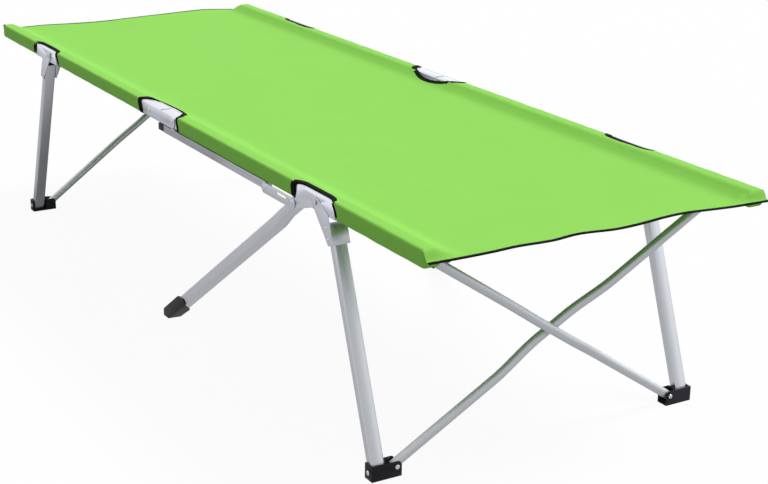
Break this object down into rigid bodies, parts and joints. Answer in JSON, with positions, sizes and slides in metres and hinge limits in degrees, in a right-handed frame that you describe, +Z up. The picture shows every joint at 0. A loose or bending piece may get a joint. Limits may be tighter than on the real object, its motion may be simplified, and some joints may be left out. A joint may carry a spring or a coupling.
{
  "type": "folding camping cot",
  "caption": "Folding camping cot: cloth deck sleeved on jointed side rails, splayed end legs with crossed tubes and slanted middle legs",
  "frame": {"origin": "on the floor, under the middle of the bed", "axes": "+X along the length towards the end nearest in the picture, +Y across the bed away from the near long side, +Z up"},
  "size_m": [1.91, 0.6584, 0.4265],
  "materials": {
    "aluminium": "satin natural anodised tube",
    "strut_aluminium": "darker satin anodised tube",
    "plated_steel": "bright plated sheet",
    "steel_pin": "bright plated rivets",
    "black_plastic": "fine moulded grain",
    "green_cloth": "plain woven cloth"
  },
  "bodies": {
    "near_left_rail": {"near_left_rail": "aluminium", "near_left_sleeve": "green_cloth", "near_left_end_plug": "black_plastic", "near_left_hinge_plug": "black_plastic", "near_left_bracket": "plated_steel", "near_left_pivot_pin": "steel_pin", "left_strut": "strut_aluminium", "left_link_plate": "plated_steel", "near_deck": "green_cloth"},
    "near_left_leg": {"near_left_leg": "aluminium", "near_left_leg_head": "plated_steel"},
    "near_left_foot": {"near_left_foot": "black_plastic"},
    "near_right_rail": {"near_right_rail": "aluminium", "near_right_sleeve": "green_cloth", "near_right_end_plug": "black_plastic", "near_right_hinge_plug": "black_plastic", "near_right_bracket": "plated_steel", "near_right_pivot_pin": "steel_pin", "right_strut": "strut_aluminium", "right_link_plate": "plated_steel"},
    "near_right_leg": {"near_right_leg": "aluminium", "near_right_leg_head": "plated_steel"},
    "near_right_foot": {"near_right_foot": "black_plastic"},
    "far_left_rail": {"far_left_rail": "aluminium", "far_left_sleeve": "green_cloth", "far_left_end_plug": "black_plastic", "far_left_hinge_plug": "black_plastic", "far_left_bracket": "plated_steel", "far_left_pivot_pin": "steel_pin", "far_deck": "green_cloth"},
    "far_left_leg": {"far_left_leg": "aluminium", "far_left_leg_head": "plated_steel"},
    "far_left_foot": {"far_left_foot": "black_plastic"},
    "far_right_rail": {"far_right_rail": "aluminium", "far_right_sleeve": "green_cloth", "far_right_end_plug": "black_plastic", "far_right_hinge_plug": "black_plastic", "far_right_bracket": "plated_steel", "far_right_pivot_pin": "steel_pin"},
    "far_right_leg": {"far_right_leg": "aluminium", "far_right_leg_head": "plated_steel"},
    "far_right_foot": {"far_right_foot": "black_plastic"},
    "near_tube_a": {"near_tube_a": "aluminium", "near_tube_a_fitting": "black_plastic"},
    "near_tube_b": {"near_tube_b": "aluminium", "near_tube_b_fitting": "black_plastic"},
    "far_tube_a": {"far_tube_a": "aluminium", "far_tube_a_fitting": "black_plastic"},
    "far_tube_b": {"far_tube_b": "aluminium", "far_tube_b_fitting": "black_plastic"},
    "left_middle_leg": {"left_middle_leg": "aluminium", "left_middle_cap": "black_plastic"},
    "left_link": {"left_hinge_outer": "plated_steel", "left_hinge_inner": "plated_steel", "middle_deck": "green_cloth"},
    "right_middle_leg": {"right_middle_leg": "aluminium", "right_middle_cap": "black_plastic"},
    "right_link": {"right_hinge_outer": "plated_steel", "right_hinge_inner": "plated_steel"}
  },
  "joints": [
    {"name": "near_left_leg_swing", "type": "hinge", "parent": "near_left_rail", "child": "near_left_leg", "pos_m": [0.625, -0.3115, 0.4125], "axis": [0, 1, 0], "range_deg": [0, 100], "deforming": ["near_deck", "middle_deck", "far_deck"]},
    {"name": "near_left_foot_turn", "type": "hinge", "parent": "near_left_leg", "child": "near_left_foot", "pos_m": [0.8045, -0.3115, 0.0125], "axis": [0, 1, 0], "range_deg": [-27, 0]},
    {"name": "near_tube_a_swing", "type": "hinge", "parent": "near_left_foot", "child": "near_tube_a", "pos_m": [0.8045, -0.281, 0.017], "axis": [0.986, 0, -0.167], "range_deg": [0, 46.4]},
    {"name": "near_tube_cross", "type": "hinge", "parent": "near_tube_a", "child": "near_tube_b", "pos_m": [0.83625, 0, 0.2045], "axis": [0.986, 0, -0.167], "range_deg": [-92.8, 0]},
    {"name": "near_tube_b_swing", "type": "hinge", "parent": "near_tube_b", "child": "near_right_foot", "pos_m": [0.8045, 0.281, 0.017], "axis": [0.986, 0, -0.167], "range_deg": [0, 46.4]},
    {"name": "near_right_foot_turn", "type": "hinge", "parent": "near_right_foot", "child": "near_right_leg", "pos_m": [0.8045, 0.3115, 0.0125], "axis": [0, 1, 0], "range_deg": [0, 27]},
    {"name": "near_right_leg_swing", "type": "hinge", "parent": "near_right_leg", "child": "near_right_rail", "pos_m": [0.625, 0.3115, 0.4125], "axis": [0, 1, 0], "range_deg": [-100, 0]},
    {"name": "far_left_leg_swing", "type": "hinge", "parent": "far_left_rail", "child": "far_left_leg", "pos_m": [-0.625, -0.3115, 0.4125], "axis": [0, -1, 0], "range_deg": [0, 100]},
    {"name": "far_left_foot_turn", "type": "hinge", "parent": "far_left_leg", "child": "far_left_foot", "pos_m": [-0.8045, -0.3115, 0.0125], "axis": [0, -1, 0], "range_deg": [-27, 0]},
    {"name": "far_tube_a_swing", "type": "hinge", "parent": "far_left_foot", "child": "far_tube_a", "pos_m": [-0.8045, -0.281, 0.017], "axis": [0.986, 0, 0.167], "range_deg": [0, 46.4]},
    {"name": "far_tube_cross", "type": "hinge", "parent": "far_tube_a", "child": "far_tube_b", "pos_m": [-0.83625, 0, 0.2045], "axis": [0.986, 0, 0.167], "range_deg": [-92.8, 0]},
    {"name": "far_tube_b_swing", "type": "hinge", "parent": "far_tube_b", "child": "far_right_foot", "pos_m": [-0.8045, 0.281, 0.017], "axis": [0.986, 0, 0.167], "range_deg": [0, 46.4]},
    {"name": "far_right_foot_turn", "type": "hinge", "parent": "far_right_foot", "child": "far_right_leg", "pos_m": [-0.8045, 0.3115, 0.0125], "axis": [0, -1, 0], "range_deg": [0, 27]},
    {"name": "far_right_leg_swing", "type": "hinge", "parent": "far_right_leg", "child": "far_right_rail", "pos_m": [-0.625, 0.3115, 0.4125], "axis": [0, -1, 0], "range_deg": [-100, 0]},
    {"name": "left_fold", "type": "hinge", "parent": "near_left_rail", "child": "left_link", "pos_m": [0.054, -0.3115, 0.4125], "axis": [0, 1, 0], "range_deg": [0, 90]},
    {"name": "left_far_fold", "type": "hinge", "parent": "left_link", "child": "far_left_rail", "pos_m": [-0.054, -0.3115, 0.4125], "axis": [0, 1, 0], "range_deg": [0, 90]},
    {"name": "right_fold", "type": "hinge", "parent": "near_right_rail", "child": "right_link", "pos_m": [0.054, 0.3115, 0.4125], "axis": [0, 1, 0], "range_deg": [0, 90]},
    {"name": "left_middle_leg_swing", "type": "hinge", "parent": "near_left_rail", "child": "left_middle_leg", "pos_m": [0.5463, -0.312, 0.388], "axis": [0, 1, 0], "range_deg": [0, 26.5]},
    {"name": "right_middle_leg_swing", "type": "hinge", "parent": "near_right_rail", "child": "right_middle_leg", "pos_m": [0.5463, 0.312, 0.388], "axis": [0, 1, 0], "range_deg": [0, 26.5]}
  ],
  "couplings": [
    {"joint": "near_left_foot_turn", "follows": "near_left_leg_swing", "ratio": -0.26951},
    {"joint": "near_tube_a_swing", "follows": "near_left_leg_swing", "ratio": 0.464},
    {"joint": "near_tube_cross", "follows": "near_left_leg_swing", "ratio": -0.92799},
    {"joint": "near_tube_b_swing", "follows": "near_left_leg_swing", "ratio": 0.464},
    {"joint": "near_right_foot_turn", "follows": "near_left_leg_swing", "ratio": 0.26951},
    {"joint": "near_right_leg_swing", "follows": "near_left_leg_swing", "ratio": -1},
    {"joint": "far_left_leg_swing", "follows": "near_left_leg_swing", "ratio": 1},
    {"joint": "far_left_foot_turn", "follows": "near_left_leg_swing", "ratio": -0.26951},
    {"joint": "far_tube_a_swing", "follows": "near_left_leg_swing", "ratio": 0.464},
    {"joint": "far_tube_cross", "follows": "near_left_leg_swing", "ratio": -0.92799},
    {"joint": "far_tube_b_swing", "follows": "near_left_leg_swing", "ratio": 0.464},
    {"joint": "far_right_foot_turn", "follows": "near_left_leg_swing", "ratio": 0.26951},
    {"joint": "far_right_leg_swing", "follows": "near_left_leg_swing", "ratio": -1},
    {"joint": "left_far_fold", "follows": "left_fold", "ratio": 1},
    {"joint": "right_fold", "follows": "left_fold", "ratio": 1},
    {"joint": "left_middle_leg_swing", "follows": "near_left_leg_swing", "ratio": 0.2646},
    {"joint": "right_middle_leg_swing", "follows": "near_left_leg_swing", "ratio": 0.2646}
  ]
}
